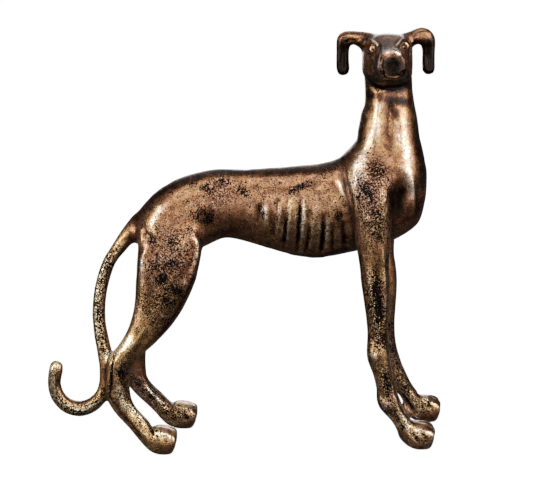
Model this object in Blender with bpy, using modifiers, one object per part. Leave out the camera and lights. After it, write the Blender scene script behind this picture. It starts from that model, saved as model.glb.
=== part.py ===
"""A standing greyhound, sand cast in brass as one piece.

The dog faces +X with its head turned to its right, -Y, and stands on the plane z = 0. The form is modelled
as a founder's pattern is: oval rings are skinned into body, neck, head, ears, legs and tail, these are fused
into one skin, muscles and hollows are pressed into it, and the details are carved last.
"""

import math
from collections import namedtuple

import bmesh
import bpy
from mathutils import Vector
from mathutils.bvhtree import BVHTree
from mathutils.kdtree import KDTree

# Driving dimensions, in metres
HEIGHT = 0.300  # soles to the top of the higher ear
FORE_STANCE = 0.052  # between the left and right fore soles, middle to middle
HIND_STANCE = 0.048
STRIDE = 0.0147  # how far the left paws stand ahead of the right ones
TAIL_THICKNESS = 0.0096
EAR_THICKNESS = 0.0090
RIB_FURROW = 0.0017  # depth of the furrows between the ribs

# The pose and the proportions below are shares of the height: one share is a three-hundredth of it.
SHARE = HEIGHT / 300
FINE_EDGE = 1.15 * SHARE  # edge length of the skin while it is worked
RING_SIDES = 32
STEPS_BETWEEN_RINGS = 4
TRIANGLES_KEPT = {"plain": 4000, "head": 2250, "ribs": 1300, "paws": 1250}

BRASS = (0.42, 0.27, 0.16, 1.0)

# x forward, y to the dog's left, z up, then the ring's radius in the limb's own plane and across it. keel
# narrows the ring's lower half and corner squares it up. swing is the share of the stride that a ring of
# the left leg stands ahead of the same ring of the right leg.
Ring = namedtuple("Ring", "x y z along across keel corner swing", defaults=(0.0, 2.0, 0.0))

TORSO = [
    Ring(-84, 0, 159.4, 8.4, 9),
    Ring(-78, 0, 159.2, 13.3, 14),
    Ring(-69, 0, 161.5, 19.6, 18.5),
    Ring(-57, 0, 165.2, 23.8, 20.5),
    Ring(-42, 0, 171.5, 26.8, 19.5, 0.1),
    Ring(-24, 0, 177.4, 25.3, 16.5, 0.1),
    Ring(-8, 0, 176, 25.8, 16, 0.15),
    Ring(10, 0, 173.6, 29, 18, 0.2),
    Ring(28, 0, 171.4, 33.2, 20.5, 0.25),
    Ring(48, 0, 171, 34.4, 22, 0.25),
    Ring(68, 0, 174.8, 34.8, 21.5, 0.2),
    Ring(86, 0, 179.5, 35.4, 20.5, 0.15),
    Ring(98, 0, 182.5, 32, 19, 0.1),
    Ring(105, 0, 187.6, 27, 16.5),
    Ring(108.6, 0, 192.4, 22, 12.5),
]

NECK = [
    Ring(84, 0, 180, 28, 20),
    Ring(92.8, 0, 200, 31.8, 21.5),
    Ring(96.2, 0, 213, 27.2, 20),
    Ring(97.2, 0, 225, 21.9, 18),
    Ring(97.1, 0, 237, 19.7, 17),
    Ring(96.6, 0.5, 247, 17.9, 16.2),
    Ring(95.8, 1, 257, 17, 16),
    Ring(94.6, 1, 268, 16.8, 15.5),
]

HEAD = [
    Ring(93.6, 9.5, 280.5, 10.5, 12),
    Ring(93.2, 4.5, 279.4, 14.8, 15.2, corner=2.2),
    Ring(92.6, -2, 278.8, 17.3, 16.9, corner=2.6),
    Ring(92.5, -9, 278.4, 18, 17.3, corner=3),
    Ring(92.2, -15.5, 278.3, 17.5, 16.6, corner=3),
    Ring(91.9, -21.5, 278, 15.8, 14.2, corner=2.7),
    Ring(91.5, -27.5, 277.9, 13.7, 11.7, corner=2.5),
    Ring(91.2, -34, 278, 11.7, 10.2, corner=2.5),
    Ring(90.9, -41, 278.2, 10.2, 9.4, -0.06, 2.6),
    Ring(90.4, -46.5, 278.4, 9.4, 8.9, -0.14, 2.8),
    Ring(90, -50, 278.4, 9.1, 8.4, -0.18, 3.2),
]
MUZZLE_END_DOME = 0.2  # the muzzle ends nearly flat

# An ear's rings run from the skull outwards and then down. Their size in the ear's own plane is a share of
# half the ear's thickness.
RIGHT_EAR = [
    Ring(84, -3, 289.5, 1.4, 6.5),
    Ring(77, -5, 291.3, 1.4, 6.4),
    Ring(71.5, -6.4, 293, 1.1, 5.6),
    Ring(66.5, -7.5, 293.4, 1.07, 5.3),
    Ring(63.2, -8, 292.6, 1.2, 5.3),
    Ring(62, -8, 290, 1.15, 5.2),
    Ring(61.7, -8, 285.5, 1.05, 5.1),
    Ring(61.9, -8, 277.5, 1.05, 4.6),
    Ring(62.3, -8, 270.2, 1.04, 4.0),
]
LEFT_EAR = [
    Ring(100.5, -3, 288.5, 1.4, 6.5),
    Ring(106, -5, 291, 1.3, 6.4),
    Ring(110.5, -6.4, 293, 1.18, 5.6),
    Ring(115.2, -7.5, 294.8, 1.26, 5.3),
    Ring(118.8, -8, 293.6, 1.32, 5.3),
    Ring(120.8, -8, 290.2, 1.18, 5.2),
    Ring(121.2, -8, 285, 1.06, 5.1),
    Ring(121.2, -8, 278, 1.06, 4.6),
    Ring(121.9, -8, 270.6, 1.06, 4.0),
]

# For a leg, y is how far out the ring lies, as a share of the distance from the middle to the sole.
FORE_LEG = [
    Ring(74, 0.40, 209, 9, 7, swing=0.2),
    Ring(79, 0.56, 197, 15.5, 9.5, swing=0.3),
    Ring(82, 0.67, 181, 16.3, 10.5, swing=0.4),
    Ring(83.4, 0.71, 165, 14.4, 10.5, swing=0.6),
    Ring(84.2, 0.74, 149, 12.6, 9.8, swing=0.68),
    Ring(85.4, 0.76, 131, 10.9, 8.8, swing=0.7),
    Ring(86.9, 0.79, 112, 9.4, 7.9, swing=0.85),
    Ring(88.2, 0.83, 92, 8.0, 7.1, swing=0.82),
    Ring(88.5, 0.86, 80, 7.9, 7.1, swing=0.8),
    Ring(89, 0.89, 69, 8.4, 7.8, swing=0.78),
    Ring(91.6, 0.92, 58, 7.1, 6.9, swing=0.82),
    Ring(94.6, 0.95, 46, 7.1, 6.6, swing=0.88),
    Ring(97.1, 0.97, 35, 8.4, 7.4, swing=0.94),
    Ring(104.4, 0.99, 23.8, 6.5, 7.2, swing=0.98),
    Ring(112, 1.0, 12, 7.6, 8.4, swing=1.0),
]
HIND_LEG = [
    Ring(-60, 0.42, 168, 20.5, 11, swing=0.0),
    Ring(-58.5, 0.55, 152, 23, 12.5, swing=0.0),
    Ring(-60.7, 0.62, 136, 22.5, 12.8, swing=0.05),
    Ring(-65.4, 0.69, 116, 19, 11.6, swing=0.18),
    Ring(-71.2, 0.75, 101, 15.3, 10, swing=0.3),
    Ring(-79.6, 0.81, 87, 11.3, 8.8, swing=0.45),
    Ring(-88.8, 0.86, 75.8, 8.7, 7.7, swing=0.58),
    Ring(-96.2, 0.89, 66, 8.7, 7.9, swing=0.64),
    Ring(-97.4, 0.92, 53, 8.8, 7.5, swing=0.66),
    Ring(-96.8, 0.94, 41, 8.5, 7.2, swing=0.65),
    Ring(-91.6, 0.96, 30.6, 7.1, 6.8, swing=0.68),
    Ring(-84.4, 0.98, 22, 6.9, 6.7, swing=0.73),
    Ring(-77, 1.0, 12.5, 7.2, 7.6, swing=0.82),
]

# A paw's rings run from its heel to its toes; x is measured back from the tip of the toes.
PAW = [
    Ring(-23, 0, 10.6, 4.6, 6, swing=0.78),
    Ring(-18.5, 0, 9.6, 8.2, 8.8, corner=2.4, swing=0.82),
    Ring(-13, 0, 9.1, 10.2, 10.3, corner=2.8, swing=0.9),
    Ring(-7.5, 0, 8.7, 10.2, 10.6, corner=2.9, swing=1.0),
    Ring(-4, 0, 7.8, 9.4, 10.1, corner=3, swing=1.0),
    Ring(-1.6, 0, 7.2, 8.2, 9, corner=3, swing=1.0),
]
FORE_TOE_TIP = 130.4
HIND_TOE_TIP = -56.4
SOLE_LEVEL = -0.4  # the height, in the tables, at which the soles are ground flat

# The tail hangs from the rump, leans over to the right hock, is cast onto it, and curls up behind it. Its
# radii are shares of half the tail's thickness.
TAIL = [
    Ring(-74, 0, 165.6, 2.2, 2.1),
    Ring(-81.6, 0, 160, 1.85, 1.75),
    Ring(-88.8, 0, 154.3, 1.32, 1.3),
    Ring(-96.8, -1, 144.3, 1.05, 1.05),
    Ring(-103, -3, 135, 1.0, 1.0),
    Ring(-108.2, -6, 119, 1.0, 1.0),
    Ring(-110.2, -9, 103.5, 1.0, 1.0),
    Ring(-109.7, -12, 90, 1.04, 1.0),
    Ring(-107.2, -15, 76, 1.12, 1.0),
    Ring(-105.9, -17, 63, 1.08, 1.0),
    Ring(-106.1, -18, 52, 1.08, 1.0),
    Ring(-109.3, -18, 41.8, 1.1, 1.05),
    Ring(-116.4, -18, 34.5, 1.14, 1.1),
    Ring(-125.8, -18, 31.6, 1.2, 1.15),
    Ring(-134.8, -18, 34.6, 1.16, 1.1),
    Ring(-141, -18, 42, 1.07, 1.04),
    Ring(-142.9, -18, 52, 1.02, 1.0),
    Ring(-140.9, -18, 63.8, 1.06, 1.0),
]

# Strokes of the modelling tool. width is the distance from a stroke's middle to its edge, and height is how
# far the skin is raised, or sunk where it is negative; ends is the share of it that is left at both ends. A
# stroke is made from where it is seen: its points are (x, z) on both sides of the dog or on the face, and
# (y, z) on the two cheeks.
Stroke = namedtuple("Stroke", "points width height seen ends", defaults=("sides", 0.4))

BODY_MASSES = [
    Stroke([(84, 254), (85.5, 243), (85, 233), (82, 224), (77, 215)], 6.5, 0.9),  # neck's own muscle
    Stroke([(101, 243), (103, 232), (105, 222), (107.5, 211)], 7, 0.9),  # throat
    Stroke([(110, 201), (111.7, 189), (111, 177)], 6, 1.0),  # edge of the breast
    Stroke([(75, 212), (71.5, 201), (71, 190), (73, 178), (75.5, 165), (77, 153)], 6.5, 1.1),  # blade
    Stroke([(90.5, 190), (89.5, 180)], 6.5, 0.8),  # point of the shoulder
    Stroke([(92.5, 253), (92, 243), (91.5, 233), (92.5, 224), (94, 215)], 5, -1.9),  # hollow of the neck
    Stroke([(100, 199), (102.5, 189), (102, 180), (100, 170), (98.5, 160)], 7.5, -2.1),  # before the arm
    Stroke([(-63, 180), (-66.5, 174), (-70, 167)], 6, 1.0),  # hip bone
    Stroke([(-74.5, 162), (-71.5, 157), (-68.5, 152)], 6, -1.4),  # behind the hip bone
    Stroke([(-78, 149), (-77.8, 140), (-78, 130), (-79, 120)], 6, 0.7),  # hamstring
    Stroke([(-33, 173), (-31.5, 166), (-33, 158)], 10, -1.8),  # flank
    Stroke([(-47.5, 155), (-45.5, 147), (-46.5, 137), (-50, 127)], 5, -0.9),  # behind the flank's fold
]
BODY_LINES = [
    Stroke([(59, 200), (60, 192), (61, 185)], 4, 0.7),
    Stroke([(64, 207), (62, 200), (64, 192), (66.3, 184), (67.5, 174), (69, 163), (71, 151)], 4.2, -1.5),
    Stroke([(-42, 158), (-39.5, 153.5), (-39, 148), (-41, 139), (-45, 128)], 3.8, 1.1),
    Stroke([(-77.5, 166), (-75.5, 161), (-77, 154)], 3.4, -1.0),
]
RIBS = [
    Stroke([(7.8, 180), (7.6, 170), (7, 160)], 4.5, 0.6),
    Stroke([(19.7, 182), (18.2, 169), (16.8, 156)], 3.2, 0.6),
    Stroke([(26.7, 184), (25.3, 168), (24.2, 155)], 3.2, 0.6),
    Stroke([(35, 184), (34.4, 169), (34, 154)], 3.4, 0.6),
    Stroke([(43.3, 177), (43, 163), (42.6, 152)], 4.4, 0.5),
]
# Between the ribs: the top and the low end of each furrow, and its depth as a share of the rib furrow's
BETWEEN_RIBS = [
    ((3.2, 181), (2.6, 164), 0.5),
    ((16.6, 185), (14.8, 154), 1.0),
    ((23.4, 187), (20.2, 149), 1.1),
    ((31, 189), (31, 142), 1.3),
    ((38.4, 176), (37, 142), 1.1),
    ((48.6, 173), (48, 142), 1.3),
    ((55, 165), (56, 143), 0.8),
    ((62.5, 168), (64.2, 145), 0.9),
]
LEG_LINES = [
    Stroke([(84.8, 149), (87.2, 130), (89.2, 112), (91, 94), (91.8, 83)], 3.4, -0.9),
    Stroke([(77.8, 150), (80, 134), (82, 115), (83.8, 95)], 3.4, 0.4),
    Stroke([(84.8, 77), (85.5, 70)], 4.4, 1.0),
    Stroke([(85, 61.5), (88, 55)], 4, -0.9),
    Stroke([(92, 55), (93.6, 43)], 3.4, 0.5),
    Stroke([(92, 36), (93.4, 31)], 4.4, 1.2),
    Stroke([(98, 32), (100, 25)], 3.8, -0.9),
    Stroke([(-85, 84.5), (-92, 77), (-99, 69)], 4.2, 0.8),
    Stroke([(-72, 94), (-80, 83), (-87, 74)], 4.5, -0.8),
    Stroke([(-96.7, 57), (-96.3, 47), (-93.8, 36), (-88.5, 26), (-83, 18)], 3.6, 0.6),
    Stroke([(-101.4, 62), (-101.8, 53), (-101, 44)], 3.2, -0.9),
    Stroke([(-90.8, 62), (-91, 51), (-90.4, 42)], 3.2, -0.7),
]
HEAD_MASSES = [
    Stroke([(-4, 273), (-12, 271)], 8, 0.8, "cheeks"),  # jaw
    Stroke([(-10, 287), (-16, 286)], 6, -0.7, "cheeks"),  # temple
    Stroke([(-28, 280), (-38, 279)], 5, -0.6, "cheeks"),  # below the eye
    Stroke([(107.5, 271), (106, 266)], 6, 1.1, "face"),  # left jaw, fuller than the right
    Stroke([(106.5, 288)], 7, 1.3, "face"),  # left temple, fuller than the right
    Stroke([(80, 286.6)], 5.5, -1.3, "face"),  # eye sockets
    Stroke([(101, 287.9)], 5.5, -1.3, "face"),
    Stroke([(89.8, 293), (89.2, 288.5)], 4.5, 0.5, "face"),  # bridge of the nose
    Stroke([(90.3, 281.6), (90.6, 276)], 6.2, -0.9, "face"),  # end of the nose
    Stroke([(78, 264.5), (81, 261.3), (85, 259), (90, 258), (95, 258), (101, 258.6), (107, 261.5)], 3, -1.5, "face"),
    Stroke([(62, 287.5), (61.8, 281), (62.2, 275)], 3.6, -1.1, "face"),  # hollows of the ears
    Stroke([(120.8, 289), (121, 281), (121.4, 275)], 3.6, -1.1, "face"),
]
HEAD_LINES = [
    Stroke([(80, 287)], 3.3, 1.5, "face"),  # eyes
    Stroke([(100.9, 288.1)], 3.5, 1.5, "face"),
    Stroke([(76.8, 291.4), (80.4, 291), (83.4, 289.3)], 2.6, 0.9, "face"),  # brows
    Stroke([(102.6, 293.2), (98.2, 291.6), (94.8, 289.4)], 2.6, 0.9, "face"),
    Stroke([(79.9, 283), (79.8, 279.8)], 2.6, 0.5, "face"),
    Stroke([(83.6, 272.3)], 2.2, -1.0, "face"),  # corners of the mouth
    Stroke([(97.1, 273.3)], 2.2, -1.0, "face"),
    Stroke([(85, 270.6), (90.5, 269.9), (97, 270.6)], 2.4, 0.5, "face"),  # lower lip
    Stroke([(-47, 273), (-40, 271.8), (-32, 270.4), (-27, 270)], 2.2, -0.8, "cheeks"),  # mouth
    Stroke([(79.5, 261), (84, 256.4), (90, 255), (96, 255), (102, 256)], 2.6, 0.5, "face"),  # fold of the throat
]
HEAD_MIDDLE = 91.5  # x of the head's middle
TOE_GROOVES = (-5.4, 0, 5.4)


def spread_of(table):
    """The rings of a table with smooth in-between rings, by Catmull and Rom's curve through every value."""
    rows = [table[0], *table, table[-1]]
    spread = []
    for before, start, end, after in zip(rows, rows[1:], rows[2:], rows[3:]):
        for step in range(STEPS_BETWEEN_RINGS):
            t = step / STEPS_BETWEEN_RINGS
            spread.append(Ring(*(curve_at(t, *values) for values in zip(before, start, end, after))))
    return [*spread, table[-1]]


def curve_at(t, before, start, end, after):
    return 0.5 * (
        2 * start
        + (end - before) * t
        + (2 * before - 5 * start + 4 * end - after) * t**2
        + (3 * start - before - 3 * end + after) * t**3
    )


def with_domes(rings, first, last):
    """The rings with both ends rounded off; first and last are the domes' lengths as shares of the end's radius."""
    return [*dome(rings[1], rings[0], first)[::-1], *rings, *dome(rings[-2], rings[-1], last)]


def dome(inner, end, bulge):
    middle = Vector(end[:3])
    outwards = (middle - Vector(inner[:3])).normalized()
    length = bulge * min(end.along, end.across)
    rings = []
    for angle in (25, 45, 62, 76, 86):
        slope = math.radians(angle)
        at = middle + outwards * length * math.sin(slope)
        shrink = math.cos(slope)
        rings.append(end._replace(x=at.x, y=at.y, z=at.z, along=end.along * shrink, across=end.across * shrink))
    return rings


def skin(name, rings, side=(0, 1, 0), first=0.7, last=0.7):
    """A closed form skinned over rings that stand square to the line through their middles; side is the way
    that a ring's size across is measured. The tables are in shares of the height."""
    rings = with_domes(rings, first, last)
    middles = [Vector(ring[:3]) for ring in rings]
    form = bmesh.new()
    loops = []
    for place, ring in enumerate(rings):
        ahead = middles[min(place + 1, len(rings) - 1)] - middles[max(place - 1, 0)]
        ahead.normalize()
        up = ahead.cross(Vector(side)).normalized()
        across = up.cross(ahead)
        loops.append([form.verts.new(point * SHARE) for point in ring_points(ring, middles[place], across, up)])
    for near, far in zip(loops, loops[1:]):
        for corner in range(RING_SIDES):
            after = (corner + 1) % RING_SIDES
            form.faces.new((near[corner], near[after], far[after], far[corner]))
    form.faces.new(loops[0][::-1])
    form.faces.new(loops[-1])
    bmesh.ops.recalc_face_normals(form, faces=form.faces)
    mesh = bpy.data.meshes.new(name)
    form.to_mesh(mesh)
    form.free()
    return mesh


def ring_points(ring, middle, across, up):
    low_side = -1 if up.z > 0 else 1
    for corner in range(RING_SIDES):
        turn = 2 * math.pi * corner / RING_SIDES
        wide, high = math.cos(turn), math.sin(turn)
        fullness = (abs(wide) ** ring.corner + abs(high) ** ring.corner) ** (-1 / ring.corner)
        narrowing = 1 - ring.keel * (1 + low_side * high) / 2
        yield middle + across * wide * fullness * ring.across * narrowing + up * high * fullness * ring.along


def leg(name, table, toe_tip, stance, side):
    """A leg with its paw. side is -1 for the dog's right and 1 for its left, which steps ahead."""
    half_stance = stance / 2 / SHARE
    stride = STRIDE / SHARE if side > 0 else 0.0
    rings = [ring._replace(x=ring.x + stride * ring.swing, y=side * half_stance * ring.y) for ring in table]
    paw = [ring._replace(x=toe_tip + ring.x + stride * ring.swing, y=side * half_stance) for ring in PAW]
    return [
        skin(name, spread_of(rings)),
        skin(name + " paw", spread_of(paw), last=0.18),
    ]


def thickened(table, thickness, both=False):
    """A table whose radii are shares of half a thickness, in the limb's plane or both ways."""
    half = thickness / 2 / SHARE
    return [
        ring._replace(along=ring.along * half, across=ring.across * (half if both else 1)) for ring in table
    ]


def forms():
    """Every rounded form that the figure is fused from."""
    shapes = [
        skin("torso", spread_of(TORSO)),
        skin("neck", spread_of(NECK)),
        skin("head", spread_of(HEAD), side=(1, 0, 0), last=MUZZLE_END_DOME),
        skin("right ear", spread_of(thickened(RIGHT_EAR, EAR_THICKNESS))),
        skin("left ear", spread_of(thickened(LEFT_EAR, EAR_THICKNESS))),
        skin("tail", spread_of(thickened(TAIL, TAIL_THICKNESS, both=True)), last=1.0),
    ]
    for side in (-1, 1):
        shapes += leg("fore leg", FORE_LEG, FORE_TOE_TIP, FORE_STANCE, side)
        shapes += leg("hind leg", HIND_LEG, HIND_TOE_TIP, HIND_STANCE, side)
    return shapes


def fused(shapes):
    """One closed skin of even small faces over all the forms."""
    form = bmesh.new()
    for shape in shapes:
        form.from_mesh(shape)
        bpy.data.meshes.remove(shape)
    mesh = bpy.data.meshes.new("forms")
    form.to_mesh(mesh)
    form.free()
    holder = bpy.data.objects.new("forms", mesh)
    bpy.context.scene.collection.objects.link(holder)
    remesh = holder.modifiers.new("one skin", "REMESH")
    remesh.mode = "VOXEL"
    remesh.voxel_size = FINE_EDGE
    return evaluated(holder)


def evaluated(holder):
    """The mesh of an object with its modifiers worked in; the object itself is removed."""
    graph = bpy.context.evaluated_depsgraph_get()
    mesh = bpy.data.meshes.new_from_object(holder.evaluated_get(graph))
    bpy.data.objects.remove(holder)
    return mesh


def smoothed(form, rounds, within=None):
    """Rubs the skin down. within, where it is given, says whether a point is in the part that is rubbed."""
    rubbed = [vert for vert in form.verts if within is None or within(vert)]
    for _ in range(rounds):
        bmesh.ops.smooth_vert(form, verts=rubbed, factor=0.5, use_axis_x=True, use_axis_y=True, use_axis_z=True)


def in_trunk(vert):
    """Whether a point is where limbs and neck run into the trunk, which is worked over more than the rest."""
    x, z = vert.co.x / SHARE, vert.co.z / SHARE
    return 128 < z < 226 and -84 < x


def at_nape(vert):
    """Whether a point is where the back of the skull runs into the neck."""
    return vert.co.z > 236 * SHARE and vert.co.y > 1 * SHARE


def stroked(form, strokes, on_legs=False):
    """Raises or sinks the skin along the strokes, all of them measured from the skin as it was before."""
    tree = BVHTree.FromBMesh(form)
    moves = {}
    for stroke in strokes:
        for spine, towards in spines_of(tree, stroke, on_legs):
            add_moves(form, spine, towards, stroke, moves)
    moved(form, moves)


def moved(form, moves):
    for vert, move in moves.items():
        vert.co += move
    form.normal_update()


def spines_of(tree, stroke, on_legs):
    """Each line that a stroke makes on the skin, with the way that the tool is pushed."""
    if stroke.seen == "cheeks":
        for side in (-1, 1):
            starts = [Vector((HEAD_MIDDLE + side * 60, y, z)) for y, z in stroke.points]
            yield dropped(tree, starts, Vector((-side, 0, 0)))
        return
    for side in (-1,) if stroke.seen == "face" else (-1, 1):
        starts = [Vector((x, side * 100, z)) for x, z in stroke.points]
        if on_legs and side > 0:
            starts = [start + Vector((STRIDE / SHARE * swing_at(start.x, start.z), 0, 0)) for start in starts]
        yield dropped(tree, starts, Vector((0, -side, 0)))


def dropped(tree, starts, towards):
    hits = [tree.ray_cast(start * SHARE, towards)[0] for start in starts]
    return [hit for hit in hits if hit], towards


def swing_at(x, z):
    """How far ahead of the right leg the left one stands at a place on it, as a share of the stride."""
    table = FORE_LEG if x > 0 else HIND_LEG
    for upper, lower in zip(table, table[1:]):
        if lower.z <= z:
            part = min((upper.z - z) / (upper.z - lower.z), 1)
            return upper.swing + (lower.swing - upper.swing) * max(part, 0)
    return 1.0


def add_moves(form, spine, towards, stroke, moves):
    """Adds what one line of a stroke does to the skin that faces the tool."""
    reach = stroke.width * SHARE
    line = closely(spine, reach / 3)
    near = KDTree(len(line))
    for place, at in enumerate(line):
        near.insert(at, place)
    near.balance()
    low = [min(at[axis] for at in line) - reach for axis in range(3)]
    high = [max(at[axis] for at in line) + reach for axis in range(3)]
    for vert in form.verts:
        x, y, z = vert.co
        if not (low[0] < x < high[0] and low[2] < z < high[2] and low[1] < y < high[1]):
            continue
        _, place, away = near.find(vert.co)
        facing = 1 if towards is None else min(max(0.3 - vert.normal.dot(towards), 0) * 2, 1)
        if away < reach and facing > 0:
            from_end = min(place, len(line) - 1 - place) / len(line)
            strength = min(stroke.ends + 4 * (1 - stroke.ends) * from_end, 1) if len(spine) > 1 else 1
            swell = (1 - (away / reach) ** 2) ** 2 * stroke.height * SHARE * facing * strength
            moves[vert] = moves.get(vert, Vector()) + vert.normal * swell


def closely(spine, spacing):
    """Points along a line no farther apart than the spacing."""
    points = [spine[0]]
    for start, end in zip(spine, spine[1:]):
        steps = max(1, math.ceil((end - start).length / spacing))
        points += [start.lerp(end, step / steps) for step in range(1, steps + 1)]
    return points


def paws():
    """The tip of each paw's toes, as x and y."""
    for tip, stance in ((FORE_TOE_TIP, FORE_STANCE), (HIND_TOE_TIP, HIND_STANCE)):
        for side in (-1, 1):
            yield tip + (STRIDE / SHARE if side > 0 else 0), side * stance / 2 / SHARE


def toed(form):
    """Parts the toes and marks off each paw from its pastern."""
    tree = BVHTree.FromBMesh(form)
    moves = {}
    for tip, middle in paws():
        for aside in TOE_GROOVES:
            y = middle + aside
            line = [(tip - 10.5, y, 19), (tip - 5, y, 17), (tip - 1, y, 11.5), (tip + 0.5, y, 5), (tip, y, -1)]
            add_moves(form, snapped(tree, line), None, Stroke(None, 2.8, -1.2), moves)
        across = [(tip - 18, middle - 7, 16), (tip - 18, middle, 19), (tip - 18, middle + 7, 16)]
        add_moves(form, snapped(tree, across), None, Stroke(None, 3.4, -1.1), moves)
    moved(form, moves)


def snapped(tree, line):
    return [tree.find_nearest(Vector(at) * SHARE)[0] for at in line]


def in_zone(point, zone, margin=0):
    """Whether a point is in one of the zones of the skin, or within a margin of it."""
    x, z = point.x / SHARE, point.z / SHARE
    if zone == "head":
        return z > 255 - margin
    if zone == "ribs":
        return -4 - margin < x < 70 + margin and 140 - margin < z < 191 + margin
    if zone == "paws":
        return z < 22 + margin and x > -84 - margin
    return not any(in_zone(point, other) for other in ("head", "ribs", "paws"))


def thinned(mesh):
    """The mesh with fewer and larger triangles, zone by zone, so that the carved zones keep their detail."""
    for zone, kept in TRIANGLES_KEPT.items():
        holder = bpy.data.objects.new("skin", mesh)
        bpy.context.scene.collection.objects.link(holder)
        group = holder.vertex_groups.new(name=zone)
        margin = 0 if zone == "plain" else 4
        group.add([vert.index for vert in mesh.vertices if in_zone(vert.co, zone, margin)], 1.0, "REPLACE")
        inside = sum(in_zone(face.center, zone) for face in mesh.polygons)
        fewer = holder.modifiers.new("fewer triangles", "DECIMATE")
        fewer.ratio = 1 - (inside - kept) / len(mesh.polygons)
        fewer.vertex_group = group.name
        mesh = evaluated(holder)
    return mesh


def settled(form):
    """Rubs down the points at which the thinning has left a sliver that stands up from the skin."""
    for _ in range(4):
        form.normal_update()
        smoothed(form, 1, at_sliver)


def at_sliver(vert):
    return any(face.normal.dot(vert.normal) < 0.4 for face in vert.link_faces)


def grounded(form):
    """Grinds the soles flat, then stands the figure on z = 0, over the middle of its box, at its full height."""
    level = Vector((0, 0, SOLE_LEVEL * SHARE))
    everything = [*form.verts, *form.edges, *form.faces]
    bmesh.ops.bisect_plane(form, geom=everything, plane_co=level, plane_no=(0, 0, 1), clear_inner=True)
    open_edges = [edge for edge in form.edges if edge.is_boundary]
    soles = bmesh.ops.holes_fill(form, edges=open_edges, sides=0)["faces"]
    bmesh.ops.triangulate(form, faces=soles)
    low = [min(vert.co[axis] for vert in form.verts) for axis in range(3)]
    high = [max(vert.co[axis] for vert in form.verts) for axis in range(3)]
    middle = Vector(((low[0] + high[0]) / 2, (low[1] + high[1]) / 2, low[2]))
    bmesh.ops.translate(form, verts=form.verts, vec=-middle)
    bmesh.ops.scale(form, verts=form.verts, vec=Vector((1, 1, 1)) * HEIGHT / (high[2] - low[2]))


def brass():
    material = bpy.data.materials.new("antique brass")
    material.use_nodes = True
    shader = material.node_tree.nodes["Principled BSDF"]
    shader.inputs["Base Color"].default_value = BRASS
    shader.inputs["Roughness"].default_value = 0.38
    shader.inputs["Metallic"].default_value = 1.0
    return material


def main():
    for old in list(bpy.data.objects):
        bpy.data.objects.remove(old)
    mesh = fused(forms())
    form = bmesh.new()
    form.from_mesh(mesh)
    smoothed(form, 50, in_trunk)
    smoothed(form, 60, at_nape)
    smoothed(form, 5)
    stroked(form, BODY_MASSES + HEAD_MASSES)
    smoothed(form, 6)
    stroked(form, BODY_LINES + RIBS)
    stroked(form, LEG_LINES, on_legs=True)
    smoothed(form, 2)
    depth = RIB_FURROW / SHARE
    furrows = [Stroke([top, low], 3.1, -depth * share, ends=0) for top, low, share in BETWEEN_RIBS]
    stroked(form, HEAD_LINES + furrows)
    toed(form)
    bmesh.ops.triangulate(form, faces=form.faces)
    form.to_mesh(mesh)
    form.clear()
    form.from_mesh(thinned(mesh))
    settled(form)
    grounded(form)
    mesh = bpy.data.meshes.new("greyhound")
    form.to_mesh(mesh)
    form.free()
    mesh.shade_smooth()
    mesh.materials.append(brass())
    castings = bpy.data.collections.new("Greyhound")
    bpy.context.scene.collection.children.link(castings)
    castings.objects.link(bpy.data.objects.new("greyhound", mesh))


main()
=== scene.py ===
import math
from collections import namedtuple

import bmesh
import bpy
import numpy as np
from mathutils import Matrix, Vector
from mathutils.bvhtree import BVHTree


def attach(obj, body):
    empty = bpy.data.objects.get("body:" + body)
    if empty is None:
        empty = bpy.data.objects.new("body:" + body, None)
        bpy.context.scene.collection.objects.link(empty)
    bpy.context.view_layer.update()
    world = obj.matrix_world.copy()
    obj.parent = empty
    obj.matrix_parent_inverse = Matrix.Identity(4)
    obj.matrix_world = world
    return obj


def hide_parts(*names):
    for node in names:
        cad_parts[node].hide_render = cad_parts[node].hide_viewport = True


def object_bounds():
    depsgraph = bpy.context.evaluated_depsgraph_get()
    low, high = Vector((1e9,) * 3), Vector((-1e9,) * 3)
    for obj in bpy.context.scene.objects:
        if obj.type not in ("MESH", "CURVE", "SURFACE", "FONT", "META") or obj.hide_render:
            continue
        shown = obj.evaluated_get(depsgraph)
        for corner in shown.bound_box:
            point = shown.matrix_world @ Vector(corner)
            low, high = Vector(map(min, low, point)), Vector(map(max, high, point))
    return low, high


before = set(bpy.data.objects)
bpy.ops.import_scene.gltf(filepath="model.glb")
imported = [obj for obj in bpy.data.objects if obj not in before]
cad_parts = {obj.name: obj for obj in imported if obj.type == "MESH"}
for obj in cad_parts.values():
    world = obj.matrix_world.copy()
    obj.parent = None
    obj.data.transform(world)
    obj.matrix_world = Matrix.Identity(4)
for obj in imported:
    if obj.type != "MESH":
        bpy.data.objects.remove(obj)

for name in ("Cube", "Light", "Camera"):
    if name in bpy.data.objects:
        bpy.data.objects.remove(bpy.data.objects[name])
CAD_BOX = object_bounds()

# The photograph's camera. Lengths in metres, angles in degrees, the picture in pixels.
PICTURE = (533, 496)
LENS, SENSOR = 80.0, 36.0
AIM = Vector((0.01077, 0.00759, 0.14439))
AZIMUTH, ELEVATION, DISTANCE = -3.32, 13.77, 0.8488

SLIVER = 0.0006  # the solid's facets narrower than this are merged, in metres
SKIN_EDGE = 0.00075  # edge length of the skin while it is carved, in metres
FACE_ABOVE = 0.257  # the skin is finer above this height, in metres
FACE_TURN = 0.35  # and where it looks less than this far to the dog's left
MOST_TRIANGLES = 190000
MIDDLE = 7.6  # y of the dog's middle plane, in millimetres
STRIDE = 14.7  # how far the left paws stand ahead of the right ones, in millimetres
# The share of the stride by which a left leg stands ahead at each height, in millimetres, up to the leg's top
SWING_HEIGHTS = [0, 20, 60, 90, 130, 165]
SWING_SHARES = [1.0, 0.98, 0.72, 0.6, 0.4, 0.1]
LEGS_BELOW = 150

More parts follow.
